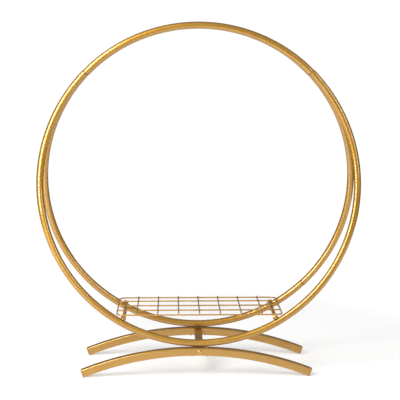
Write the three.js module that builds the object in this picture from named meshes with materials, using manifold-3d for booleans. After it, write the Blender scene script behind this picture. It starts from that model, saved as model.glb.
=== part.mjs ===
// Firewood log rack: two round steel-tube hoops that lean together at the top,
// two arched square-tube feet with end caps, a crossbar between the feet, and a
// welded wire shelf that rests on two rails bolted across the bottom of the hoops.
// Units are millimetres, +Z up. Origin: on the floor, under the middle of the rack.
// X runs across the hoops, -Y is the front.
import * as THREE from 'three';
import { mergeVertices } from 'three/addons/utils/BufferGeometryUtils.js';
import Module from 'manifold-3d';

// ---------------------------------------------------------------- dimensions
const GAP = 0.3;               // running gap kept between touching pieces

const HOOP_R = 497;            // centreline radius of a hoop
const TUBE_R = 11;             // hoop tube, outside radius
const TUBE_WALL = 1.2;
const TUBE_SIDES = 12;
const BORE_SIDES = 8;
const ARC_STEPS = 14;          // segments per quarter arc
const SEAM_TOP = 45.5;         // seams of the four arcs, degrees from the top
const SEAM_BOTTOM = 135.5;

const BOTTOM_HALF = 131.5;     // half distance between the hoops at the bottom
const TOP_HALF = 14;           // half distance between the hoops at the top
const LEAN = Math.asin((BOTTOM_HALF - TOP_HALF) / (2 * HOOP_R));

const FOOT_R = 960;            // centreline radius of the arched feet
const FOOT_HALF_ANGLE = 21.75; // degrees
const FOOT_SECTION = 25;       // square tube
const FOOT_WALL = 1.5;
const FOOT_CORNER = 3;
const FOOT_STEPS = 14;
const FOOT_OFFSET = -10;       // the feet sit a little to the left of the hoops
const FOOT_DROP = 25.6;        // hoop centreline to foot centreline, along the lean
const STUD_X = 23;             // foot bolts, each side of the middle
const FOOT_BOLT_SEAT = 1.8;    // how far the leaning bolt's head stands off the foot
const FOOT_BOLT_HEAD = 1.4;    // low-profile head, out of sight under the foot
const STUD_R = 3;              // M6
const CAP_PLATE = 3;
const CAP_PLUG = 16;

const RAIL_R = 6;              // shelf rail, round tube
const RAIL_WALL = 1.2;
const TAB_T = 3;               // flattened rail end
const TAB_W = 17;
const TAB_L = 30;
const INNER_R = HOOP_R * Math.cos((Math.PI / 4) / ARC_STEPS) - TUBE_R;  // a hoop's inner surface, halfway along a segment

const WIRE_R = 2;
const WIRE_SIDES = 6;
const SHELF_HALF_X = 259.5;    // centre of the end wires
const SHELF_Y = [-128, -60.5, 7, 74.5, 128];
const SHELF_PITCH = 65.5;      // cross wires
const SHELF_CORNER = 22;
const SHELF_BELOW = 405;       // long wires below the hoop centre

// ------------------------------------------------------------ derived frame
const deg = Math.PI / 180;
const capDrop = (FOOT_R - FOOT_SECTION / 2 - 0.3)
  * Math.cos(FOOT_HALF_ANGLE * deg) - (CAP_PLATE + GAP) * Math.sin(FOOT_HALF_ANGLE * deg);
const HOOP_BOTTOM = -HOOP_R * Math.cos(LEAN);              // below the hoop centre
const FOOT_AXIS = HOOP_BOTTOM - FOOT_DROP * Math.cos(LEAN); // foot centreline apex
const FOOT_Y = BOTTOM_HALF + FOOT_DROP * Math.sin(LEAN);
const CAP_TRIM = 1.4;          // the caps' lower edge is cut flat by this much
const FLOOR = FOOT_AXIS - FOOT_R + capDrop + CAP_TRIM;
const ZC = -FLOOR;             // height of the hoop centre above the floor
const PLANE_Y = BOTTOM_HALF - HOOP_R * Math.sin(LEAN);     // hoop centre off mid-plane

// ---------------------------------------------------------------- materials
const gold = (rough = 0.36) => new THREE.MeshStandardMaterial({ color: 0xc9a055, roughness: rough, metalness: 0.85 });
const goldWire = () => new THREE.MeshStandardMaterial({ color: 0xbf9548, roughness: 0.4, metalness: 0.85 });
const steel = () => new THREE.MeshStandardMaterial({ color: 0xb9b4a6, roughness: 0.35, metalness: 0.9 });
const goldBolt = () => new THREE.MeshStandardMaterial({ color: 0xd2ab60, roughness: 0.3, metalness: 0.9 });
const plastic = () => new THREE.MeshStandardMaterial({ color: 0xa9803f, roughness: 0.55, metalness: 0.1 });

// ----------------------------------------------------------- solid modelling
const wasm = await Module();
wasm.setup();

// A three.js geometry as a closed solid, placed by a matrix.
function solid(geometry, matrix = new THREE.Matrix4()) {
  let g = geometry.index ? geometry.toNonIndexed() : geometry.clone();
  g.deleteAttribute('normal');
  g.deleteAttribute('uv');
  g.applyMatrix4(matrix);
  g = mergeVertices(g, 1e-4);
  const index = g.getIndex().array;
  const pos = g.getAttribute('position').array;
  const keep = [];
  let volume = 0;
  for (let i = 0; i < index.length; i += 3) {
    const [a, b, c] = [index[i], index[i + 1], index[i + 2]];
    if (a === b || b === c || a === c) continue;
    keep.push(a, b, c);
    const p = [a, b, c].map((k) => new THREE.Vector3(pos[3 * k], pos[3 * k + 1], pos[3 * k + 2]));
    volume += p[0].dot(p[1].cross(p[2]));
  }
  if (volume < 0) for (let i = 0; i < keep.length; i += 3) [keep[i + 1], keep[i + 2]] = [keep[i + 2], keep[i + 1]];
  return new wasm.Manifold(new wasm.Mesh({
    numProp: 3, vertProperties: new Float32Array(pos), triVerts: new Uint32Array(keep),
  }));
}

function toGeometry(manifold) {
  const m = manifold.getMesh();
  const g = new THREE.BufferGeometry();
  const n = m.numProp;
  const v = new Float32Array((m.vertProperties.length / n) * 3);
  for (let i = 0; i < v.length / 3; i++) for (let k = 0; k < 3; k++) v[3 * i + k] = m.vertProperties[i * n + k];
  g.setAttribute('position', new THREE.BufferAttribute(v, 3));
  g.setIndex(new THREE.BufferAttribute(new Uint32Array(m.triVerts), 1));
  return g;
}

// --------------------------------------------------------- shapes and curves
function polygon(radius, sides, phase = 0) {
  const pts = [];
  for (let i = 0; i < sides; i++) {
    const a = phase + (2 * Math.PI * i) / sides;
    pts.push(new THREE.Vector2(radius * Math.cos(a), radius * Math.sin(a)));
  }
  return pts;
}

function roundedSquare(size, corner, steps = 2) {
  const h = size / 2;
  const pts = [];
  for (let q = 0; q < 4; q++) {
    const cx = (q === 0 || q === 3 ? 1 : -1) * (h - corner);
    const cy = (q < 2 ? 1 : -1) * (h - corner);
    for (let s = 0; s <= steps; s++) {
      const a = (q * 90 + (90 * s) / steps) * deg;
      pts.push(new THREE.Vector2(cx + corner * Math.cos(a), cy + corner * Math.sin(a)));
    }
  }
  return pts;
}

function profile(outer, inner) {
  const shape = new THREE.Shape(outer);
  if (inner) shape.holes.push(new THREE.Path(inner));
  return shape;
}

// An arc in the XZ plane; angles in degrees from +Z towards +X.
class Arc extends THREE.Curve {
  constructor(radius, from, to, centre = new THREE.Vector3()) {
    super();
    Object.assign(this, { radius, from, to, centre });
  }
  getPoint(t, target = new THREE.Vector3()) {
    const a = (this.from + (this.to - this.from) * t) * deg;
    return target.set(this.radius * Math.sin(a), 0, this.radius * Math.cos(a)).add(this.centre);
  }
}

const sweep = (shape, path, steps) => new THREE.ExtrudeGeometry(shape, { steps, bevelEnabled: false, extrudePath: path });

// A straight round bar between two points.
function bar(radius, from, to, sides = 8, hole = 0) {
  const line = new THREE.LineCurve3(from, to);
  return sweep(profile(polygon(radius, sides, Math.PI / sides), hole ? polygon(hole, sides, Math.PI / sides) : null), line, 1);
}

// A turned piece about +Z: radius, height pairs from the axis back to the axis.
const turned = (pairs, sides = 12) => new THREE.LatheGeometry(pairs.map(([r, z]) => new THREE.Vector2(r, z)), sides)
  .rotateX(Math.PI / 2);

// A ring about +Z from z0 to z1.
function ring(inner, outer, z0, z1, sides = 10) {
  const g = new THREE.ExtrudeGeometry(profile(polygon(outer, sides), polygon(inner, sides)), { depth: z1 - z0, bevelEnabled: false });
  return g.translate(0, 0, z0);
}

// A button-head bolt about +Z: head under z = 0, shank up to z = length.
function buttonBolt(r, length, headR, headH) {
  const body = solid(turned([[0, -headH], [headR * 0.6, -headH], [headR, -headH * 0.4],
    [headR, 0], [r, 0], [r, length], [0, length]]));
  const socket = new THREE.CylinderGeometry(headR * 0.42, headR * 0.42, headH, 6).rotateX(Math.PI / 2).translate(0, 0, -headH);
  return body.subtract(solid(socket));
}

// ------------------------------------------------------------------- frames
const rotX = (a) => new THREE.Matrix4().makeRotationX(a);
const rotY = (a) => new THREE.Matrix4().makeRotationY(a);
const move = (x, y, z) => new THREE.Matrix4().makeTranslation(x, y, z);
const mul = (...m) => m.reduce((a, b) => a.clone().multiply(b));

// side = -1 front hoop, +1 back hoop. Local +Z runs up the leaning hoop.
const hoopFrame = (side) => mul(move(0, side * PLANE_Y, ZC), rotX(side * LEAN));
// A frame on the hoop's inner surface at `angle` degrees from the top, +Z pointing out along the radius.
const onInner = (side, angle) => mul(hoopFrame(side), rotY(angle * deg), move(0, 0, INNER_R));

const rack = new THREE.Group();
rack.name = 'log_rack';
function add(name, manifold, material) {
  const mesh = new THREE.Mesh(toGeometry(manifold), material);
  mesh.name = name;
  rack.add(mesh);
}

// -------------------------------------------------------------- rail layout
const railRadius = INNER_R - GAP - RAIL_R;            // rail centre from the hoop centre, in the hoop's plane
const railZ = -SHELF_BELOW - WIRE_R - GAP - RAIL_R;            // below the hoop centre
const railAngle = 180 - Math.acos(-railZ / Math.cos(LEAN) / railRadius) / deg;
const railX = railRadius * Math.sin(railAngle * deg);
const railPlane = PLANE_Y + (railRadius * -Math.cos(railAngle * deg)) * Math.sin(LEAN);

// ------------------------------------------------- holes bored in the hoops
function hoopHoles(side) {
  const f = hoopFrame(side);
  const cut = [];
  for (const s of [-1, 1]) {
    // foot bolts come up through the lower wall only
    cut.push(solid(bar(STUD_R + GAP, new THREE.Vector3(s * STUD_X, 0, -HOOP_R - 30), new THREE.Vector3(s * STUD_X, 0, -HOOP_R), 10), f));
    // rail bolts go out through the inner wall only
    cut.push(solid(bar(STUD_R + GAP, new THREE.Vector3(0, 0, -20), new THREE.Vector3(0, 0, TUBE_R), 10), onInner(side, s * railAngle)));
  }
  return cut;
}
const topZ = ZC + HOOP_R * Math.cos(LEAN);

// -------------------------------------------------------------------- hoops
const shaved = (0.15 / HOOP_R) / deg;      // keeps the arcs 0.3 mm apart at their seams
const step = { top: (2 * SEAM_TOP) / ARC_STEPS, side: (SEAM_BOTTOM - SEAM_TOP) / ARC_STEPS, bottom: (360 - 2 * SEAM_BOTTOM) / ARC_STEPS };
const tubeShape = () => profile(polygon(TUBE_R, TUBE_SIDES), polygon(TUBE_R - TUBE_WALL, BORE_SIDES));
const arcs = {
  top: [-SEAM_TOP, SEAM_TOP],
  right: [SEAM_TOP, SEAM_BOTTOM],
  bottom: [SEAM_BOTTOM, 360 - SEAM_BOTTOM],
  left: [360 - SEAM_BOTTOM, 360 - SEAM_TOP],
};
for (const [end, side] of [['front', -1], ['back', 1]]) {
  const f = hoopFrame(side);
  for (const [where, [from, to]] of Object.entries(arcs)) {
    let tube = solid(sweep(tubeShape(), new Arc(HOOP_R, from + shaved, to - shaved), ARC_STEPS), f);
    if (where === 'bottom') for (const h of hoopHoles(side)) tube = tube.subtract(h);
    if (where === 'top') {
      // the top bolt passes both walls of the back hoop and the rear wall of the front one
      const y0 = side < 0 ? -TOP_HALF : TOP_HALF - 20;
      const y1 = side < 0 ? -TOP_HALF + 20 : TOP_HALF + 20;
      tube = tube.subtract(solid(bar(STUD_R + GAP, new THREE.Vector3(0, y0, topZ), new THREE.Vector3(0, y1, topZ), 10)));
    }
    add(`${end}_hoop_${where}`, tube, gold());
  }
  // splice pins hidden inside the tubes at the four seams
  const seams = {
    upper_right: [SEAM_TOP - step.top, SEAM_TOP + step.side],
    lower_right: [SEAM_BOTTOM - step.side, SEAM_BOTTOM + step.bottom],
    lower_left: [360 - SEAM_BOTTOM - step.bottom, 360 - SEAM_BOTTOM + step.side],
    upper_left: [360 - SEAM_TOP - step.side, 360 - SEAM_TOP + step.top],
  };
  for (const [where, [from, to]] of Object.entries(seams)) {
    add(`${end}_splice_${where}`, solid(sweep(profile(polygon(TUBE_R - TUBE_WALL - 0.45, BORE_SIDES)), new Arc(HOOP_R, from, to), 2), f), steel());
  }
}

// --------------------------------------------------- joint between the tops
{
  const along = mul(move(0, 0, topZ), rotX(Math.PI / 2));     // local +Z runs to -Y, the front
  const half = TOP_HALF - TUBE_R;
  add('top_spacer', solid(ring(STUD_R + GAP, 6.5, -half + GAP, half - GAP), along), gold());
  add('top_bolt', buttonBoltAt(mul(along, move(0, 0, -(TOP_HALF + TUBE_R + GAP))), 2 * TOP_HALF + TUBE_R + GAP + 2), goldBolt());
  add('top_insert', solid(ring(STUD_R + GAP, 4.4, 8, 12), mul(along, move(0, 0, 0))), steel());
}
function buttonBoltAt(matrix, length, headR = 5.5, headH = 3.3) {
  return buttonBolt(STUD_R, length, headR, headH).transform(matrix.elements);
}

// --------------------------------------------------------------------- feet
const footApex = (side) => new THREE.Vector3(0, side * FOOT_Y, ZC + FOOT_AXIS);
const footCentre = (side) => move(FOOT_OFFSET, side * FOOT_Y, ZC + FOOT_AXIS - FOOT_R);
for (const [end, side] of [['front', -1], ['back', 1]]) {
  const f = footCentre(side);
  const f0 = hoopFrame(side);
  let foot = solid(sweep(profile(roundedSquare(FOOT_SECTION, FOOT_CORNER), roundedSquare(FOOT_SECTION - 2 * FOOT_WALL, FOOT_CORNER - 1.2, 1)),
    new Arc(FOOT_R, -FOOT_HALF_ANGLE, FOOT_HALF_ANGLE), FOOT_STEPS), f);
  for (const s of [-1, 1]) {
    foot = foot.subtract(solid(bar(STUD_R + GAP, new THREE.Vector3(s * STUD_X, 0, -HOOP_R - 60), new THREE.Vector3(s * STUD_X, 0, -HOOP_R), 10), f0));
  }
  // crossbar bolt through both side walls
  foot = foot.subtract(solid(bar(4 + GAP, new THREE.Vector3(0, side * FOOT_Y - 20, ZC + FOOT_AXIS - 0.5), new THREE.Vector3(0, side * FOOT_Y + 20, ZC + FOOT_AXIS - 0.5), 10)));
  add(`${end}_foot`, foot, gold());

  // end caps: a plate on the tube's end and a plug inside it, cut flat where it stands on the floor
  for (const [where, sgn] of [['left', -1], ['right', 1]]) {
    const endFrame = mul(f, rotY(sgn * FOOT_HALF_ANGLE * deg), move(0, 0, FOOT_R), rotY((sgn * Math.PI) / 2));
    const plate = new THREE.ExtrudeGeometry(profile(roundedSquare(FOOT_SECTION + 0.6, FOOT_CORNER + 0.3)), { depth: CAP_PLATE, bevelEnabled: false }).translate(0, 0, GAP);
    const plug = new THREE.ExtrudeGeometry(profile(roundedSquare(FOOT_SECTION - 2 * FOOT_WALL - 0.9, FOOT_CORNER - 1.6, 1)), { depth: CAP_PLUG + GAP + 1, bevelEnabled: false }).translate(0, 0, -CAP_PLUG);
    const cap = solid(plate, endFrame).add(solid(plug, endFrame));
    const below = new THREE.BoxGeometry(200, 200, 50).translate(sgn * 350 + FOOT_OFFSET, side * FOOT_Y, -25);
    add(`${end}_foot_cap_${where}`, cap.subtract(solid(below)), plastic());
  }

  // hoop bolts, spacers and the threaded inserts inside the hoop
  for (const [where, s] of [['left', -1], ['right', 1]]) {
    const drop = Math.sqrt(HOOP_R ** 2 - STUD_X ** 2);                   // hoop centreline under the bolt
    const headAt = -HOOP_R - FOOT_DROP - FOOT_SECTION / 2 - FOOT_BOLT_SEAT;   // under the foot
    const m = mul(f0, move(s * STUD_X, 0, headAt));
    add(`${end}_hoop_bolt_${where}`, buttonBolt(STUD_R, -drop + TUBE_R - 5 - headAt, 5.5, FOOT_BOLT_HEAD).transform(m.elements), goldBolt());
    const washerTop = -drop - TUBE_R - GAP;
    add(`${end}_hoop_spacer_${where}`, solid(ring(STUD_R + GAP, 5, washerTop - 1.6, washerTop), mul(f0, move(s * STUD_X, 0, 0))), gold());
    add(`${end}_hoop_insert_${where}`, solid(ring(STUD_R + GAP, 4.4, -drop - 6.4, -drop - 1.4), mul(f0, move(s * STUD_X, 0, 0))), steel());
  }
}

// ----------------------------------------------------------------- crossbar
{
  const length = 2 * (FOOT_Y - FOOT_SECTION / 2 - GAP);
  const z = ZC + FOOT_AXIS - 0.5;
  const m = mul(move(0, length / 2, z), rotX(Math.PI / 2));
  const outer = new THREE.ExtrudeGeometry(profile(roundedSquare(FOOT_SECTION, FOOT_CORNER)), { depth: length, bevelEnabled: false });
  const inner = new THREE.ExtrudeGeometry(profile(roundedSquare(FOOT_SECTION - 2 * FOOT_WALL, FOOT_CORNER - 1.2, 1)), { depth: length + 2, bevelEnabled: false }).translate(0, 0, -1);
  add('foot_crossbar', solid(outer, m).subtract(solid(inner, m)), gold());
  for (const [end, side] of [['front', -1], ['back', 1]]) {
    const frame = mul(move(0, side * (length / 2), z), rotX((side * Math.PI) / 2));   // +Z points inwards, to the middle
    // threaded plug in the crossbar's end
    const plug = new THREE.ExtrudeGeometry(profile(roundedSquare(FOOT_SECTION - 2 * FOOT_WALL - 0.9, FOOT_CORNER - 1.6, 1), polygon(4 + GAP, 10)), { depth: 18, bevelEnabled: false }).translate(0, 0, 0.5);
    add(`crossbar_plug_${end}`, solid(plug, frame), steel());
    const head = mul(frame, move(0, 0, -(GAP + FOOT_SECTION + GAP)));
    add(`crossbar_bolt_${end}`, buttonBolt(4, FOOT_SECTION + 2 * GAP + 14, 7, 4.2).transform(head.elements), goldBolt());
  }
}

// -------------------------------------------------------------- shelf rails
for (const [where, s] of [['left', -1], ['right', 1]]) {
  const x = s * railX;
  const z = ZC + railZ;
  const reach = railPlane - TAB_L / 2 + 3;
  let rail = solid(bar(RAIL_R, new THREE.Vector3(x, -reach, z), new THREE.Vector3(x, reach, z), 12));
  for (const side of [-1, 1]) {
    const m = onInner(side, s * railAngle);
    const tab = new THREE.BoxGeometry(TAB_W, TAB_L, TAB_T).translate(0, -side * 4, -GAP - TAB_T / 2);
    rail = rail.add(solid(tab, m));
  }
  // bore the tube right through, open under the flattened ends
  rail = rail.subtract(solid(bar(RAIL_R - RAIL_WALL - 1.2, new THREE.Vector3(x - s * 1.2, -reach - 1, z + 1), new THREE.Vector3(x - s * 1.2, reach + 1, z + 1), 12)));
  for (const side of [-1, 1]) {
    rail = rail.subtract(solid(bar(STUD_R + GAP, new THREE.Vector3(0, 0, -12), new THREE.Vector3(0, 0, 12), 10), onInner(side, s * railAngle)));
  }
  add(`shelf_rail_${where}`, rail, gold());
  for (const [end, side] of [['front', -1], ['back', 1]]) {
    const m = mul(onInner(side, s * railAngle), move(0, 0, -2 * GAP - TAB_T));
    add(`rail_bolt_${end}_${where}`, buttonBolt(STUD_R, 2 * GAP + TAB_T + 9, 5.5, 3.3).transform(m.elements), goldBolt());
    add(`rail_insert_${end}_${where}`, solid(ring(STUD_R + GAP, 4.4, 4.8, 9.5), onInner(side, s * railAngle)), steel());
  }
}

// -------------------------------------------------------------------- shelf
{
  const z = ZC - SHELF_BELOW;
  const V = (x, y, dz = 0) => new THREE.Vector3(x, y, z + dz);
  const [front, back] = [SHELF_Y[0], SHELF_Y[SHELF_Y.length - 1]];
  const c = SHELF_CORNER;
  let grid = null;
  const weld = (m) => { grid = grid ? grid.add(m) : m; };
  // the rim, a bent wire loop: a flat ring with chamfered edges
  const loop = (grow) => {
    const [x, y0, y1, r] = [SHELF_HALF_X + grow, front - grow, back + grow, c + grow];
    const pts = [];
    for (const [cx, cy, start] of [[x - r, y1 - r, 0], [-x + r, y1 - r, 90], [-x + r, y0 + r, 180], [x - r, y0 + r, 270]]) {
      for (let i = 0; i <= 5; i++) pts.push(new THREE.Vector2(cx + r * Math.cos((start + 18 * i) * deg), cy + r * Math.sin((start + 18 * i) * deg)));
    }
    return pts;
  };
  const bevel = 0.9;
  weld(solid(new THREE.ExtrudeGeometry(profile(loop(WIRE_R - bevel), loop(bevel - WIRE_R)), {
    depth: 2 * (WIRE_R - bevel), bevelEnabled: true, bevelSize: bevel, bevelThickness: bevel, bevelSegments: 1,
  }), move(0, 0, z - WIRE_R + bevel)));
  for (const y of SHELF_Y.slice(1, -1)) weld(solid(bar(WIRE_R * 0.97, V(-SHELF_HALF_X, y), V(SHELF_HALF_X, y), WIRE_SIDES)));
  for (let k = -3; k <= 3; k++) weld(solid(bar(WIRE_R * 0.97, V(k * SHELF_PITCH, front - 2.5, WIRE_R * 1.6), V(k * SHELF_PITCH, back + 2.5, WIRE_R * 1.6), WIRE_SIDES)));
  add('shelf_grid', grid, goldWire());
}

export default rack;
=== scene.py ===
# Firewood log rack: the looks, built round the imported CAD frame. Metres, +Z up, -Y is the front.
import math
import bpy
import numpy as np
from mathutils import Matrix, Vector


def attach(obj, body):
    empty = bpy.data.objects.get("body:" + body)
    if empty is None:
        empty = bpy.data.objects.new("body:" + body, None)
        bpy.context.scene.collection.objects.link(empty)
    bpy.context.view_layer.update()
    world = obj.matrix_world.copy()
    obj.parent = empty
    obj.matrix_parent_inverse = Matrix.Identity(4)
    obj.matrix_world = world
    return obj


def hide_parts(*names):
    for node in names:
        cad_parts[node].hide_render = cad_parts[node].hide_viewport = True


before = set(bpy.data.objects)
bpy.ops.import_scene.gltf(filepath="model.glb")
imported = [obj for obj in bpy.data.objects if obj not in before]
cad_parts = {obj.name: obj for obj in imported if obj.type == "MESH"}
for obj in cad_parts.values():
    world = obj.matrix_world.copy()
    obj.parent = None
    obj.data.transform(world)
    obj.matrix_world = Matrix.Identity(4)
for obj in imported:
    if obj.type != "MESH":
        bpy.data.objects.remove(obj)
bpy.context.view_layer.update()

# ------------------------------------------------------------------ dimensions (millimetres, as in the CAD)
HOOP_R, TUBE_R, TUBE_WALL = 497.0, 11.0, 1.2
SEAM_TOP, SEAM_BOTTOM = 45.5, 135.5
BOTTOM_HALF, TOP_HALF = 131.5, 14.0
LEAN = math.asin((BOTTOM_HALF - TOP_HALF) / (2 * HOOP_R))
FOOT_R, FOOT_HALF, FOOT_SECTION, FOOT_WALL, FOOT_CORNER = 960.0, 21.75, 25.0, 1.5, 3.0
FOOT_OFFSET, FOOT_DROP = -10.0, 25.6
STUD_X, STUD_R, FOOT_BOLT_SEAT, FOOT_BOLT_HEAD = 23.0, 3.0, 1.8, 1.4
CAP_PLATE, CAP_TRIM, GAP = 3.0, 1.4, 0.3
RAIL_R, TAB_T, TAB_W = 6.0, 3.0, 17.0
WIRE_R, SHELF_HALF_X, SHELF_CORNER, SHELF_BELOW, SHELF_PITCH = 2.0, 259.5, 22.0, 405.0, 65.5
SHELF_Y = [-128.0, -60.5, 7.0, 74.5, 128.0]
D = math.pi / 180
HOOP_BOTTOM = -HOOP_R * math.cos(LEAN)
FOOT_AXIS = HOOP_BOTTOM - FOOT_DROP * math.cos(LEAN)
FOOT_Y = BOTTOM_HALF + FOOT_DROP * math.sin(LEAN)
CAP_DROP = (FOOT_R - FOOT_SECTION / 2 - 0.3) * math.cos(FOOT_HALF * D) - (CAP_PLATE + GAP) * math.sin(FOOT_HALF * D)
ZC = -(FOOT_AXIS - FOOT_R + CAP_DROP + CAP_TRIM)
PLANE_Y = BOTTOM_HALF - HOOP_R * math.sin(LEAN)
INNER_R = HOOP_R * math.cos(math.pi / 4 / 14) - TUBE_R
TOP_Z = ZC + HOOP_R * math.cos(LEAN)


# ------------------------------------------------------------------ frames
def T(x, y, z): return Matrix.Translation((x, y, z))
def RX(a): return Matrix.Rotation(a, 4, 'X')
def RY(a): return Matrix.Rotation(a, 4, 'Y')
def RZ(a): return Matrix.Rotation(a, 4, 'Z')
def hoop_frame(side): return T(0, side * PLANE_Y, ZC) @ RX(side * LEAN)
def on_inner(side, angle): return hoop_frame(side) @ RY(angle * D) @ T(0, 0, INNER_R)
def foot_frame(side): return T(FOOT_OFFSET, side * FOOT_Y, ZC + FOOT_AXIS - FOOT_R)


# ------------------------------------------------------------------ mesh building
def make(name, rings, closed=False, caps=(True, True), matrix=None, painted_shade_mask=None, sharp=32, body="rack", nodes=(), mat=None, extra=None):
    """A skin through rings of points (each the same number of points, in mm)."""
    rings = [np.asarray(r, float) for r in rings]
    n, m = len(rings), len(rings[0])
    verts = np.concatenate(rings)
    faces = []
    for k in range(n if closed else n - 1):
        a, b = k * m, ((k + 1) % n) * m
        for j in range(m):
            j2 = (j + 1) % m
            faces.append((a + j, a + j2, b + j2, b + j))
    if not closed:
        if caps[0]: faces.append(tuple(range(m - 1, -1, -1)))
        if caps[1]: faces.append(tuple(range((n - 1) * m, n * m)))
    painted_shade_masks = None if painted_shade_mask is None else np.repeat(np.asarray(painted_shade_mask, float), m)
    return finish_mesh(name, verts, faces, matrix, painted_shade_masks, sharp, body, nodes, mat)


def finish_mesh(name, verts, faces, matrix, painted_shade_masks, sharp, body, nodes, mat):
    verts = np.asarray(verts, float)
    if matrix is not None:
        mm = np.array(matrix)
        verts = verts @ mm[:3, :3].T + mm[:3, 3]
    me = bpy.data.meshes.new(name)
    me.from_pydata((verts * 0.001).tolist(), [], [tuple(f) for f in faces])
    # faces point outwards
    vol = 0.0
    for f in faces:
        p0 = verts[f[0]]
        for i in range(1, len(f) - 1):
            vol += float(np.dot(p0, np.cross(verts[f[i]], verts[f[i + 1]])))
    if vol < 0:
        me.flip_normals()
    if painted_shade_masks is not None:
        at = me.attributes.new("seam", 'FLOAT', 'POINT')
        at.data.foreach_set("value", painted_shade_masks.astype(np.float32))
    me.polygons.foreach_set("use_smooth", [True] * len(me.polygons))
    me.set_sharp_from_angle(angle=math.radians(sharp))
    me.update()
    ob = bpy.data.objects.new(name, me)
    bpy.context.scene.collection.objects.link(ob)
    if mat: me.materials.append(mat)
    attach(ob, body)
    if nodes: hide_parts(*nodes)
    return ob


def join_parts(parts):
    """One list of vertices and faces out of several (verts, faces) pairs."""
    V, F, base = [], [], 0
    for v, f in parts:
        V.append(np.asarray(v, float)); F += [tuple(i + base for i in q) for q in f]; base += len(v)
    return np.concatenate(V), F


def skin(rings, closed=False, caps=(True, True)):
    rings = [np.asarray(r, float) for r in rings]
    n, m = len(rings), len(rings[0])
    faces = []
    for k in range(n if closed else n - 1):
        a, b = k * m, ((k + 1) % n) * m
        for j in range(m):
            j2 = (j + 1) % m
            faces.append((a + j, a + j2, b + j2, b + j))
    if not closed:
        if caps[0]: faces.append(tuple(range(m - 1, -1, -1)))
        if caps[1]: faces.append(tuple(range((n - 1) * m, n * m)))
    v = np.concatenate(rings)
    vol = 0.0
    for f in faces:
        for i in range(1, len(f) - 1):
            vol += float(np.dot(v[f[0]], np.cross(v[f[i]], v[f[i + 1]])))
    if vol < 0: faces = [tuple(reversed(f)) for f in faces]
    return v, faces


def circle(r, n=48, phase=0.0):
    a = phase + np.arange(n) * 2 * math.pi / n
    return np.stack([r * np.cos(a), r * np.sin(a)], 1)


def rounded_square(size, corner, per=7, flat=5):
    """Rounded square with `per` points round each corner and `flat` inner points on each side."""
    h, pts = size / 2, []
    corner = max(corner, 0.05)
    for q in range(4):
        cx = (1 if q in (0, 3) else -1) * (h - corner)
        cy = (1 if q < 2 else -1) * (h - corner)
        arc = [(cx + corner * math.cos((q * 90 + 90 * s / (per - 1)) * D), cy + corner * math.sin((q * 90 + 90 * s / (per - 1)) * D)) for s in range(per)]
        pts += arc
        q2 = (q + 1) % 4
        nx = (1 if q2 in (0, 3) else -1) * (h - corner)
        ny = (1 if q2 < 2 else -1) * (h - corner)
        nxt = (nx + corner * math.cos(q2 * 90 * D), ny + corner * math.sin(q2 * 90 * D))
        for s in range(1, flat + 1):
            t = s / (flat + 1)
            pts.append((arc[-1][0] * (1 - t) + nxt[0] * t, arc[-1][1] * (1 - t) + nxt[1] * t))
    return np.array(pts)


def arc_ring(section, radius, angle):
    """A section (radial, across) stood on an arc in the XZ plane, at `angle` degrees from +Z."""
    s, c = math.sin(angle * D), math.cos(angle * D)
    r = radius + section[:, 0]
    return np.stack([r * s, section[:, 1], r * c], 1)


def swept_tube(section_of, radius, a0, a1, steps, inner_steps, wall, grooves=(0.3, 0.3), drifts=(0.0, 0.0)):
    """A hollow bent tube as one closed skin. section_of(inset) gives its section. grooves: how far the coat and the
    drawn-in end fall away at each seam; drifts: how far each end stands out of its neighbour's line. Also gives each
    ring a painted-shade weight: full on the cut ends, fading out of each seam's groove, 0.6 on the inner wall."""
    per = 1 / (radius * D)                       # degrees per mm
    rings, painted_shade_mask = [], []
    def push(angle, inset, m):
        away0, away1 = (angle - a0) / per, (a1 - angle) / per
        r = radius + drifts[0] * math.exp(-away0 / 22.0) + drifts[1] * math.exp(-away1 / 22.0)
        rings.append(arc_ring(section_of(inset), r, angle)); painted_shade_mask.append(m)
    def end_profile(g):
        """(distance from the end, inset, painted-shade weight) from the end inwards"""
        return [(0.0, g, 1.0), (0.10, g * 0.72, 1.0), (0.35, g * 0.50, 0.85), (0.8, g * 0.30, 0.45), (1.6, g * 0.12, 0.16), (2.8, g * 0.03, 0.05), (4.2, 0.0, 0.0)]
    # painted shade: full weight on the cut ends, fading out of each groove
    push(a0, wall, 1.0)
    for d, i, m in end_profile(grooves[0]): push(a0 + d * per, i, m)
    first, last = a0 + 4.2 * per, a1 - 4.2 * per
    for k in range(1, steps): push(first + (last - first) * k / steps, 0, 0)
    for d, i, m in reversed(end_profile(grooves[1])): push(a1 - d * per, i, m)
    push(a1, wall, 1.0)
    # inner wall: painted shade at 0.6, for the dark inside of the tube
    for k in range(inner_steps - 1, 0, -1): push(a0 + (a1 - a0) * k / inner_steps, wall, 0.6)
    return rings, painted_shade_mask


def turned(profile, n=48):
    """Rings about +Z from (radius, z) pairs."""
    return [np.concatenate([circle(r, n), np.full((n, 1), z)], 1) for r, z in profile]


def hexagon(r, n=48):
    """n points round a hexagon of corner radius r, in step with circle()."""
    out = []
    for i in range(n):
        a = 2 * math.pi * i / n
        seg = a % (math.pi / 3) - math.pi / 6
        rr = r * math.cos(math.pi / 6) / math.cos(seg)
        out.append((rr * math.cos(a), rr * math.sin(a)))
    return np.array(out)


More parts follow.
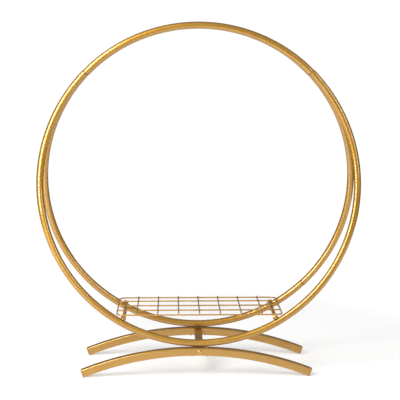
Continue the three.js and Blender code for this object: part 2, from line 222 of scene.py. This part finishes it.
def button_bolt(r, length, head_r, head_h):
    """Button-head bolt with a hex socket: the head is below z = 0, the shank above."""
    rings = turned([(r - 0.5, length), (r, length - 0.5), (r, 0.0), (head_r - 0.25, 0.0), (head_r - 0.06, -0.08), (head_r, -0.25),
                    (head_r * 0.985, -head_h * 0.30), (head_r * 0.94, -head_h * 0.52), (head_r * 0.86, -head_h * 0.72),
                    (head_r * 0.74, -head_h * 0.88), (head_r * 0.60, -head_h * 0.98), (head_r * 0.52, -head_h)])
    hx = hexagon(head_r * 0.43)
    for s, z in ((1.06, -head_h), (1.0, -head_h + 0.18), (0.98, -head_h * 0.35), (0.6, -head_h * 0.28)):
        rings.append(np.concatenate([hx * s, np.full((len(hx), 1), z)], 1))
    return rings


# ------------------------------------------------------------------ materials
def new_material(name):
    m = bpy.data.materials.new(name)
    m.use_nodes = True
    nt = m.node_tree
    for n in list(nt.nodes): nt.nodes.remove(n)
    out = nt.nodes.new("ShaderNodeOutputMaterial")
    bsdf = nt.nodes.new("ShaderNodeBsdfPrincipled")
    nt.links.new(bsdf.outputs[0], out.inputs[0])
    return m, nt, bsdf


def node(nt, kind, **values):
    n = nt.nodes.new(kind)
    for k, v in values.items():
        if k in n.inputs.keys(): n.inputs[k].default_value = v
        else: setattr(n, k, v)
    return n


def gold_paint(name, base, dark, light, rough=0.49, coat=0.8, flake=0.25, peel=0.000004, seam=True, metallic=0.95):
    m, nt, bsdf = new_material(name)
    L = nt.links.new
    co = node(nt, "ShaderNodeTexCoord")
    # slow drift of the coat's thickness
    slow = node(nt, "ShaderNodeTexNoise", Scale=9.0, Detail=3.0, Roughness=0.55)
    L(co.outputs["Object"], slow.inputs["Vector"])
    # metal flakes
    flakes = node(nt, "ShaderNodeTexVoronoi", Scale=1500.0, feature='F1')
    L(co.outputs["Object"], flakes.inputs["Vector"])
    fine = node(nt, "ShaderNodeTexNoise", Scale=420.0, Detail=4.0, Roughness=0.7)
    L(co.outputs["Object"], fine.inputs["Vector"])
    ramp = node(nt, "ShaderNodeValToRGB")
    ramp.color_ramp.elements[0].position, ramp.color_ramp.elements[0].color = 0.30, (*dark, 1)
    ramp.color_ramp.elements[1].position, ramp.color_ramp.elements[1].color = 0.72, (*light, 1)
    mid = ramp.color_ramp.elements.new(0.5); mid.color = (*base, 1)
    mixv = node(nt, "ShaderNodeMath", operation='MULTIPLY_ADD')
    L(fine.outputs["Fac"], mixv.inputs[0]); mixv.inputs[1].default_value = 0.45
    half = node(nt, "ShaderNodeMath", operation='MULTIPLY'); L(slow.outputs["Fac"], half.inputs[0]); half.inputs[1].default_value = 0.55
    L(half.outputs[0], mixv.inputs[2])
    L(mixv.outputs[0], ramp.inputs["Fac"])
    # flakes tint single specks lighter or darker
    fl = node(nt, "ShaderNodeSeparateColor"); L(flakes.outputs["Color"], fl.inputs[0])
    speck = node(nt, "ShaderNodeMapRange"); speck.inputs["From Min"].default_value = 0.0; speck.inputs["From Max"].default_value = 1.0
    speck.inputs["To Min"].default_value = 1.0 - 0.16 * flake; speck.inputs["To Max"].default_value = 1.0 + 0.16 * flake
    L(fl.outputs[0], speck.inputs["Value"])
    tint = node(nt, "ShaderNodeVectorMath", operation='SCALE')
    L(ramp.outputs["Color"], tint.inputs[0]); L(speck.outputs[0], tint.inputs["Scale"])
    colour = tint.outputs[0]
    # painted shade in the seam grooves, on the cut ends and inside the tubes: the seam attribute mixes in near-black,
    # broken up by noise
    if seam:
        at = node(nt, "ShaderNodeAttribute", attribute_name="seam")
        seam_shade_noise = node(nt, "ShaderNodeTexNoise", Scale=260.0, Detail=2.0)
        L(co.outputs["Object"], seam_shade_noise.inputs["Vector"])
        amount = node(nt, "ShaderNodeMath", operation='MULTIPLY'); L(at.outputs["Fac"], amount.inputs[0])
        dm = node(nt, "ShaderNodeMapRange"); dm.inputs["To Min"].default_value = 0.75; dm.inputs["To Max"].default_value = 1.05
        L(seam_shade_noise.outputs["Fac"], dm.inputs["Value"]); L(dm.outputs[0], amount.inputs[1])
        mx = node(nt, "ShaderNodeMix", data_type='RGBA')
        L(amount.outputs[0], mx.inputs[0]); L(colour, mx.inputs[6]); mx.inputs[7].default_value = (0.03, 0.018, 0.006, 1)
        colour = mx.outputs[2]
    L(colour, bsdf.inputs["Base Color"])
    # roughness varies with the flakes and the slow drift
    rr = node(nt, "ShaderNodeMapRange"); rr.inputs["To Min"].default_value = rough - 0.07; rr.inputs["To Max"].default_value = rough + 0.09
    L(mixv.outputs[0], rr.inputs["Value"]); L(rr.outputs[0], bsdf.inputs["Roughness"])
    # orange peel and flake relief
    wave = node(nt, "ShaderNodeTexNoise", Scale=170.0, Detail=2.0, Roughness=0.5)
    L(co.outputs["Object"], wave.inputs["Vector"])
    b1 = node(nt, "ShaderNodeBump", Strength=1.0, Distance=peel); L(wave.outputs["Fac"], b1.inputs["Height"])
    b2 = node(nt, "ShaderNodeBump", Strength=1.0, Distance=0.000004); L(flakes.outputs["Distance"], b2.inputs["Height"]); L(b1.outputs[0], b2.inputs["Normal"])
    L(b2.outputs[0], bsdf.inputs["Normal"])
    bsdf.inputs["Metallic"].default_value = metallic
    bsdf.inputs["Coat Weight"].default_value = coat
    bsdf.inputs["Coat Roughness"].default_value = 0.08
    bsdf.inputs["Coat IOR"].default_value = 1.75
    bsdf.inputs["IOR"].default_value = 1.5
    return m


def steel(name, base, rough):
    m, nt, bsdf = new_material(name)
    L = nt.links.new
    co = node(nt, "ShaderNodeTexCoord")
    nz = node(nt, "ShaderNodeTexNoise", Scale=300.0, Detail=4.0, Roughness=0.65); L(co.outputs["Object"], nz.inputs["Vector"])
    ramp = node(nt, "ShaderNodeValToRGB")
    ramp.color_ramp.elements[0].position, ramp.color_ramp.elements[0].color = 0.3, (*[c * 0.75 for c in base], 1)
    ramp.color_ramp.elements[1].position, ramp.color_ramp.elements[1].color = 0.7, (*base, 1)
    L(nz.outputs["Fac"], ramp.inputs["Fac"]); L(ramp.outputs["Color"], bsdf.inputs["Base Color"])
    rr = node(nt, "ShaderNodeMapRange"); rr.inputs["To Min"].default_value = rough - 0.08; rr.inputs["To Max"].default_value = rough + 0.1
    L(nz.outputs["Fac"], rr.inputs["Value"]); L(rr.outputs[0], bsdf.inputs["Roughness"])
    b = node(nt, "ShaderNodeBump", Strength=0.3, Distance=0.00005); L(nz.outputs["Fac"], b.inputs["Height"]); L(b.outputs[0], bsdf.inputs["Normal"])
    bsdf.inputs["Metallic"].default_value = 1.0
    return m


def plastic(name, base, rough):
    m, nt, bsdf = new_material(name)
    L = nt.links.new
    co = node(nt, "ShaderNodeTexCoord")
    grain = node(nt, "ShaderNodeTexVoronoi", Scale=1100.0, feature='F1'); L(co.outputs["Object"], grain.inputs["Vector"])
    slow = node(nt, "ShaderNodeTexNoise", Scale=60.0, Detail=3.0); L(co.outputs["Object"], slow.inputs["Vector"])
    ramp = node(nt, "ShaderNodeValToRGB")
    ramp.color_ramp.elements[0].position, ramp.color_ramp.elements[0].color = 0.3, (*[c * 0.86 for c in base], 1)
    ramp.color_ramp.elements[1].position, ramp.color_ramp.elements[1].color = 0.7, (*[min(1, c * 1.1) for c in base], 1)
    L(slow.outputs["Fac"], ramp.inputs["Fac"]); L(ramp.outputs["Color"], bsdf.inputs["Base Color"])
    rr = node(nt, "ShaderNodeMapRange"); rr.inputs["To Min"].default_value = rough - 0.05; rr.inputs["To Max"].default_value = rough + 0.07
    L(slow.outputs["Fac"], rr.inputs["Value"]); L(rr.outputs[0], bsdf.inputs["Roughness"])
    b = node(nt, "ShaderNodeBump", Strength=0.4, Distance=0.00006); L(grain.outputs["Distance"], b.inputs["Height"]); L(b.outputs[0], bsdf.inputs["Normal"])
    bsdf.inputs["Metallic"].default_value = 0.35
    return m


GOLD = gold_paint("gold_powder_coat", base=(0.485, 0.256, 0.034), dark=(0.44, 0.226, 0.027), light=(0.53, 0.290, 0.046))
GOLD_FOOT = gold_paint("gold_powder_coat_square_tube", base=(0.485, 0.256, 0.034), dark=(0.44, 0.226, 0.027), light=(0.53, 0.290, 0.046), rough=0.40)
GOLD_WIRE = gold_paint("gold_coated_wire", base=(0.47, 0.245, 0.038), dark=(0.40, 0.20, 0.028), light=(0.53, 0.285, 0.050), rough=0.46, seam=False, metallic=0.6)
GOLD_BOLT = gold_paint("gold_plated_bolt", base=(0.66, 0.40, 0.12), dark=(0.58, 0.34, 0.09), light=(0.74, 0.47, 0.17), rough=0.26, coat=0.2, flake=0.25, seam=False, metallic=1.0)
STEEL = steel("bare_steel", (0.52, 0.50, 0.47), 0.36)
CAP = plastic("moulded_gold_plastic", (0.40, 0.24, 0.07), 0.42)

# ------------------------------------------------------------------ hoops
shaved = (0.15 / HOOP_R) / D
arcs = {"top": (-SEAM_TOP, SEAM_TOP), "right": (SEAM_TOP, SEAM_BOTTOM), "bottom": (SEAM_BOTTOM, 360 - SEAM_BOTTOM), "left": (360 - SEAM_BOTTOM, 360 - SEAM_TOP)}
ends_of = {"top": ("upper_left", "upper_right"), "right": ("upper_right", "lower_right"), "bottom": ("lower_right", "lower_left"), "left": ("lower_left", "upper_left")}
# seams that show: deeper notch and a slight step; the rest are drawn up tight
open_seams = {("front", "upper_left"): 0.9, ("front", "upper_right"): 0.8, ("back", "upper_left"): 0.5, ("back", "upper_right"): 0.6, ("back", "lower_right"): 0.35}
for end, side in (("front", -1), ("back", 1)):
    f = hoop_frame(side)
    for where, (a0, a1) in arcs.items():
        slip = [open_seams.get((end, e), 0.0) * (-1 if where in ("top", "bottom") else 1) for e in ends_of[where]]
        depth = [1.05 if open_seams.get((end, e), 0) else 0.22 for e in ends_of[where]]
        rings, painted_shade_mask = swept_tube(lambda inset: circle(TUBE_R - inset, 48), HOOP_R, a0 + shaved, a1 - shaved, 118, 30, TUBE_WALL, depth, slip)
        if min(depth) < 0.5:                     # a tight seam shows only as a hairline: its painted shade is cut to 0.35
            n = len(painted_shade_mask)
            for k in range(n):
                near = 0 if k < 9 or k > n - 2 else 1 if k > 9 + 116 and k < 9 + 118 + 8 else None
                if near is not None and depth[near] < 0.5: painted_shade_mask[k] *= 0.35
        node_name = f"{end}_hoop_{where}"
        make(f"{node_name}_tube", rings, closed=True, matrix=f, painted_shade_mask=painted_shade_mask, nodes=(node_name,), mat=GOLD, sharp=50)

# ------------------------------------------------------------------ feet, caps and crossbar
for end, side in (("front", -1), ("back", 1)):
    f = foot_frame(side)
    def sec(inset): return rounded_square(FOOT_SECTION - 2 * inset, FOOT_CORNER - inset * 0.9)
    rings, painted_shade_mask = swept_tube(sec, FOOT_R, -FOOT_HALF, FOOT_HALF, 110, 24, FOOT_WALL, (0.4, 0.4))
    painted_shade_mask = [0.0] * len(painted_shade_mask)
    make(f"{end}_foot_tube", rings, closed=True, matrix=f, painted_shade_mask=painted_shade_mask, nodes=(f"{end}_foot",), mat=GOLD_FOOT, sharp=50)
    for where, s in (("left", -1), ("right", 1)):
        # local +Z points out of the tube's end
        m = f @ RY(s * FOOT_HALF * D) @ T(0, 0, FOOT_R) @ RY(s * math.pi / 2)
        size, c = FOOT_SECTION + 0.6, FOOT_CORNER + 0.3
        plug = FOOT_SECTION - 2 * FOOT_WALL - 0.9
        rings = []
        def sq(sz, co, z): rings.append(np.concatenate([rounded_square(sz, co, 9, 4), np.full((len(rounded_square(sz, co, 9, 4)), 1), z)], 1))
        sq(plug - 1.5, 1.0, -15.5); sq(plug, 1.4, -14.5); sq(plug, 1.4, 0.0); sq(plug, 1.4, GAP)
        sq(size - 0.5, c - 0.25, GAP); sq(size, c, GAP + 0.25)
        for t in range(0, 8):
            a = t / 7 * math.pi / 2
            rr = 1.5
            sq(size - 2 * rr * (1 - math.cos(a)), max(c - rr * (1 - math.cos(a)), 0.6), GAP + CAP_PLATE - rr + rr * math.sin(a) * 0.86)
        sq(size - 8, c - 1.2, GAP + CAP_PLATE - 0.12); sq(size - 16, 1.6, GAP + CAP_PLATE)
        ob = make(f"{end}_foot_end_cap_{where}", rings, matrix=m, nodes=(f"{end}_foot_cap_{where}",), mat=CAP, sharp=45)
        for v in ob.data.vertices:
            if v.co.z < 0: v.co.z = 0.0

z_bar = ZC + FOOT_AXIS - 0.5
half = FOOT_Y - FOOT_SECTION / 2 - GAP
rings = []
def bar_ring(y, inset):
    p = rounded_square(FOOT_SECTION - 2 * inset, FOOT_CORNER - inset * 0.9)
    rings.append(np.stack([p[:, 0], np.full(len(p), y), p[:, 1] + z_bar], 1))
for y, i in [(-half, FOOT_WALL), (-half, 0.5), (-half + 0.15, 0.15), (-half + 0.5, 0), (-half + 1.5, 0)] + [(-half + 2 * half * k / 40, 0) for k in range(1, 40)] + \
        [(half - 1.5, 0), (half - 0.5, 0), (half - 0.15, 0.15), (half, 0.5), (half, FOOT_WALL)] + [(half - 2 * half * k / 10, FOOT_WALL) for k in range(1, 10)]:
    bar_ring(y, i)
make("crossbar_tube", rings, closed=True, painted_shade_mask=[0.0] * len(rings), nodes=("foot_crossbar",), mat=GOLD_FOOT, sharp=50)

# ------------------------------------------------------------------ bolts
def bolt(name, matrix, r, length, head_r, head_h):
    make(f"{name}_button_head", button_bolt(r, length, head_r, head_h), matrix=matrix, nodes=(name,), mat=GOLD_BOLT, sharp=28)

along = T(0, 0, TOP_Z) @ RX(math.pi / 2)
bolt("top_bolt", along @ T(0, 0, -(TOP_HALF + TUBE_R + GAP)), STUD_R, 2 * TOP_HALF + TUBE_R + GAP + 2, 5.5, 3.3)
def washer(name, matrix, inner, outer, z0, z1, node_name, mat=GOLD):
    e = 0.25
    make(name, turned([(inner, z0 + e), (inner, z1 - e), (inner + e, z1), (outer - e, z1), (outer, z1 - e), (outer, z0 + e), (outer - e, z0), (inner + e, z0)]),
         closed=True, matrix=matrix, painted_shade_mask=None, nodes=(node_name,), mat=mat, sharp=28)
PLAIN = GOLD_BOLT
hs = TOP_HALF - TUBE_R
washer("top_spacer_ring", along, STUD_R + GAP, 6.5, -hs + GAP, hs - GAP, "top_spacer", mat=PLAIN)
for end, side in (("front", -1), ("back", 1)):
    f0 = hoop_frame(side)
    drop = math.sqrt(HOOP_R ** 2 - STUD_X ** 2)
    head_at = -HOOP_R - FOOT_DROP - FOOT_SECTION / 2 - FOOT_BOLT_SEAT
    for where, s in (("left", -1), ("right", 1)):
        bolt(f"{end}_hoop_bolt_{where}", f0 @ T(s * STUD_X, 0, head_at), STUD_R, -drop + TUBE_R - 5 - head_at, 5.5, FOOT_BOLT_HEAD)
        top = -drop - TUBE_R - GAP
        washer(f"{end}_hoop_spacer_{where}_ring", f0 @ T(s * STUD_X, 0, 0), STUD_R + GAP, 5.0, top - 1.6, top, f"{end}_hoop_spacer_{where}", mat=PLAIN)
    fr = T(0, side * half, z_bar) @ RX(side * math.pi / 2)
    bolt(f"crossbar_bolt_{end}", fr @ T(0, 0, -(GAP + FOOT_SECTION + GAP)), 4.0, FOOT_SECTION + 2 * GAP + 14, 7.0, 4.2)

# ------------------------------------------------------------------ shelf rails
rail_radius = INNER_R - GAP - RAIL_R
rail_z = -SHELF_BELOW - WIRE_R - GAP - RAIL_R
rail_angle = 180 - math.acos(-rail_z / math.cos(LEAN) / rail_radius) / D
rail_x = rail_radius * math.sin(rail_angle * D)
rail_plane = PLANE_Y + rail_radius * -math.cos(rail_angle * D) * math.sin(LEAN)
for where, s in (("left", -1), ("right", 1)):
    n = 40
    ang = np.arange(n) * 2 * math.pi / n
    def section(w, t, p):
        """Superellipse, half width w, half thickness t."""
        c, q = np.cos(ang), np.sin(ang)
        return np.sign(c) * np.abs(c) ** (2 / p) * w, np.sign(q) * np.abs(q) ** (2 / p) * t
    stations = []
    world_t = np.array([math.cos(s * rail_angle * D), 0, -math.sin(s * rail_angle * D)])
    world_n = np.array([math.sin(s * rail_angle * D), 0, math.cos(s * rail_angle * D)])
    for side in (-1, 1):
        m = np.array(on_inner(side, s * rail_angle))
        tt, yy, nn, o = m[:3, 0], m[:3, 1], m[:3, 2], m[:3, 3]
        row = []
        bolt_c = o - nn * (GAP + TAB_T / 2)
        bend_y = rail_plane - 15.0 + 3.0                    # where the round tube starts to flatten
        for u in np.concatenate([np.linspace(-23, -14, 10), np.linspace(-13, 2.3, 10), 2.3 + 8.5 * np.sin(np.linspace(0.12, 1, 9) * math.pi / 2)]):
            k = min(max((u + 23) / 9.0, 0), 1); k = k * k * (3 - 2 * k)
            flat_c = bolt_c + yy * (side * u)
            round_c = np.array([s * rail_x, side * (rail_plane + u), ZC + rail_z])
            c0 = round_c * (1 - k) + flat_c * k
            w, t, p = RAIL_R + (TAB_W / 2 - RAIL_R) * k, RAIL_R + (TAB_T / 2 - RAIL_R) * k, 2 + 2.4 * k
            if u > 2.3:
                q = (u - 2.3) / 8.5
                w = max(TAB_W / 2 * math.sqrt(max(1 - q * q, 0)), 0.35)
                t = TAB_T / 2 * (1 if q < 0.93 else 0.8)
            a, b = section(w, t, p)
            e1 = world_t * (1 - k) + tt * k; e1 /= np.linalg.norm(e1)
            e2 = world_n * (1 - k) + nn * k; e2 /= np.linalg.norm(e2)
            row.append(c0 + np.outer(a, e1) + np.outer(b, e2))
        stations.append(row)
    front, back = stations
    y_mid = rail_plane - 23
    middle = []
    for k in range(1, 24):
        y = -y_mid + 2 * y_mid * k / 24
        a, b = section(RAIL_R, RAIL_R, 2)
        middle.append(np.array([s * rail_x, y, ZC + rail_z]) + np.outer(a, world_t) + np.outer(b, world_n))
    rings = list(reversed(front)) + middle + back
    make(f"shelf_rail_{where}_tube", rings, painted_shade_mask=[0.0] * len(rings), nodes=(f"shelf_rail_{where}",), mat=GOLD, sharp=40)
    for end, side in (("front", -1), ("back", 1)):
        bolt(f"rail_bolt_{end}_{where}", on_inner(side, s * rail_angle) @ T(0, 0, -2 * GAP - TAB_T), STUD_R, 2 * GAP + TAB_T + 9, 5.5, 3.3)

# ------------------------------------------------------------------ wire shelf
COATED = WIRE_R + 0.3                                # wire plus its coat
z_s = ZC - SHELF_BELOW + 0.3
parts = []
def wire(p0, p1, r, n=16, steps=40, axis_hint=(0, 0, 1)):
    p0, p1 = np.array(p0, float), np.array(p1, float)
    d = p1 - p0; length = np.linalg.norm(d); d /= length
    e1 = np.cross(d, axis_hint); e1 /= np.linalg.norm(e1); e2 = np.cross(d, e1)
    rings = []
    def ring(t, rr): rings.append(p0 + d * t + np.outer(np.cos(np.arange(n) * 2 * math.pi / n) * rr, e1) + np.outer(np.sin(np.arange(n) * 2 * math.pi / n) * rr, e2))
    for t, q in ((0, 0.55), (0.25, 0.8), (0.6, 0.95), (1.0, 1.0)): ring(t, r * q)
    for k in range(1, steps): ring(1 + (length - 2) * k / steps, r)
    for t, q in ((1.0, 1.0), (0.6, 0.95), (0.25, 0.8), (0, 0.55)): ring(length - t, r * q)
    parts.append(skin(rings))
# the rim: a wire bent round four corners
path = []
x0, y0, y1, c = SHELF_HALF_X, SHELF_Y[0], SHELF_Y[-1], SHELF_CORNER
for cx, cy, st in ((x0 - c, y1 - c, 0), (-x0 + c, y1 - c, 90), (-x0 + c, y0 + c, 180), (x0 - c, y0 + c, 270)):
    for i in range(17):
        a = (st + 90 * i / 16) * D
        path.append((cx + c * math.cos(a), cy + c * math.sin(a), math.cos(a), math.sin(a)))
dense = []
for i in range(len(path)):
    a, b = path[i], path[(i + 1) % len(path)]
    dist = math.hypot(b[0] - a[0], b[1] - a[1]); k = max(1, int(dist / 14))
    for j in range(k):
        t = j / k
        dense.append(tuple(a[q] * (1 - t) + b[q] * t for q in range(4)))
ca, sa = np.cos(np.arange(20) * 2 * math.pi / 20), np.sin(np.arange(20) * 2 * math.pi / 20)
rim = []
for px, py, nx, ny in dense:
    l = math.hypot(nx, ny); nx, ny = nx / l, ny / l
    rim.append(np.stack([px + COATED * ca * nx, py + COATED * ca * ny, z_s + COATED * sa], 1))
parts.append(skin(rim, closed=True))
WR = COATED * 0.97
for y in SHELF_Y[1:-1]: wire((-SHELF_HALF_X, y, z_s), (SHELF_HALF_X, y, z_s), WR)
for k in range(-3, 4): wire((k * SHELF_PITCH, y0 - 2.5, z_s + WIRE_R * 1.6), (k * SHELF_PITCH, y1 + 2.5, z_s + WIRE_R * 1.6), WR, steps=24)
# resistance-weld nuggets, where the wires sink into each other
def nugget(x, y, z, rx, ry, rz):
    rings = []
    for i in range(1, 8):
        ph = math.pi * i / 8
        a = np.arange(14) * 2 * math.pi / 14
        rings.append(np.stack([x + rx * math.sin(ph) * np.cos(a), y + ry * math.sin(ph) * np.sin(a), np.full(14, z - rz * math.cos(ph))], 1))
    parts.append(skin(rings))
for k in range(-3, 4):
    for y in SHELF_Y: nugget(k * SHELF_PITCH, y, z_s + 1.62, 2.15, 2.15, 1.35)
for y in SHELF_Y[1:-1]:
    for s in (-1, 1): nugget(s * (SHELF_HALF_X - 1.6), y, z_s, 1.9, 2.5, 1.9)
V, F = join_parts(parts)
finish_mesh("wire_shelf", V, F, None, None, 50, "shelf", ("shelf_grid",), GOLD_WIRE)

# ------------------------------------------------------------------ carried-over CAD pieces
for name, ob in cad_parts.items():
    if any(w in name for w in ("splice", "insert", "plug")):
        ob.data.materials.clear(); ob.data.materials.append(STEEL)

# ------------------------------------------------------------------ stage, light, camera
FLOOR_NEAR, FLOOR_FAR = 0.42, 0.85
scene = bpy.context.scene
me = bpy.data.meshes.new("floor")
S = 2.0
me.from_pydata([(-S, -S, 0), (S, -S, 0), (S, S, 0), (-S, S, 0)], [], [(0, 1, 2, 3)])
floor = bpy.data.objects.new("floor", me); scene.collection.objects.link(floor)
m, nt, bsdf = new_material("floor_white")
bsdf.inputs["Base Color"].default_value = (0.55, 0.55, 0.55, 1)
bsdf.inputs["Roughness"].default_value = 0.9
bsdf.inputs["Specular IOR Level"].default_value = 0.1
bsdf.inputs["Emission Color"].default_value = (1, 1, 1, 1)
# the paper is lit evenly far out; near the rack the lamps do it, so shadows show
fco, flen = node(nt, "ShaderNodeTexCoord"), node(nt, "ShaderNodeVectorMath", operation='LENGTH')
nt.links.new(fco.outputs["Object"], flen.inputs[0])
fall = node(nt, "ShaderNodeMapRange", interpolation_type='SMOOTHSTEP')
for k, v in (("From Min", 0.8), ("From Max", 1.9), ("To Min", FLOOR_NEAR), ("To Max", FLOOR_FAR)): fall.inputs[k].default_value = v
nt.links.new(flen.outputs["Value"], fall.inputs["Value"]); nt.links.new(fall.outputs[0], bsdf.inputs["Emission Strength"])
me.materials.append(m)

world = bpy.data.worlds.new("studio"); scene.world = world
world.use_nodes = True
bg = world.node_tree.nodes["Background"]
bg.inputs[0].default_value = (1.0, 0.985, 0.96, 1); bg.inputs[1].default_value = 0.25
# dim studio: a little light from the ceiling, dark walls
wn, wlk = world.node_tree.nodes.new, world.node_tree.links.new
wco, wsep, wmap = wn("ShaderNodeTexCoord"), wn("ShaderNodeSeparateXYZ"), wn("ShaderNodeMapRange")
wmap.interpolation_type = 'SMOOTHSTEP'
for k, v in (("From Min", 0.02), ("From Max", 0.75), ("To Min", 0.10), ("To Max", 0.36)): wmap.inputs[k].default_value = v
wlk(wco.outputs["Generated"], wsep.inputs[0]); wlk(wsep.outputs["Z"], wmap.inputs["Value"]); wlk(wmap.outputs[0], bg.inputs[1])
seen = world.node_tree.nodes.new("ShaderNodeBackground")      # the white backdrop itself; it lights nothing
seen.inputs[0].default_value = (1, 1, 1, 1); seen.inputs[1].default_value = 1.03
path_node, mixer = world.node_tree.nodes.new("ShaderNodeLightPath"), world.node_tree.nodes.new("ShaderNodeMixShader")
wl = world.node_tree.links.new
wl(path_node.outputs["Is Camera Ray"], mixer.inputs[0]); wl(bg.outputs[0], mixer.inputs[1]); wl(seen.outputs[0], mixer.inputs[2])
wl(mixer.outputs[0], world.node_tree.nodes["World Output"].inputs[0])

def area(name, loc, target, sx, sy, power, colour=(1, 1, 1), glossy=True):
    li = bpy.data.lights.new(name, 'AREA'); li.shape = 'RECTANGLE'; li.size, li.size_y = sx, sy
    li.energy = power; li.color = colour
    ob = bpy.data.objects.new(name, li); scene.collection.objects.link(ob)
    ob.location = loc
    ob.rotation_euler = (Vector(target) - Vector(loc)).to_track_quat('-Z', 'Y').to_euler()
    ob.visible_glossy = glossy
    return ob

area("key_left", (-1.2, -1.3, 1.45), (0, 0, 0.65), 0.5, 2.0, 60)
area("fill_right", (3.1, -2.8, 2.3), (0, 0, 0.6), 1.0, 2.6, 58)
sun = bpy.data.lights.new("overhead", 'SUN'); sun.energy = 1.0; sun.angle = 55 * D
so = bpy.data.objects.new("overhead", sun); scene.collection.objects.link(so)
so.rotation_euler = (Vector((0.42, 0.30, -1.0))).to_track_quat('-Z', 'Y').to_euler()
so.visible_glossy = False

cam = bpy.data.cameras.new("camera"); cam.sensor_width = 36.0; cam.lens = 104.79
cam.clip_end = 300
co = bpy.data.objects.new("camera", cam); scene.collection.objects.link(co)
co.location = (-0.0847, -3.6898, 1.0166)
co.rotation_euler = (math.pi / 2 - 0.1285, 0, -0.0241)
scene.camera = co
scene.view_settings.view_transform = 'Standard'
scene.view_settings.look = 'None'
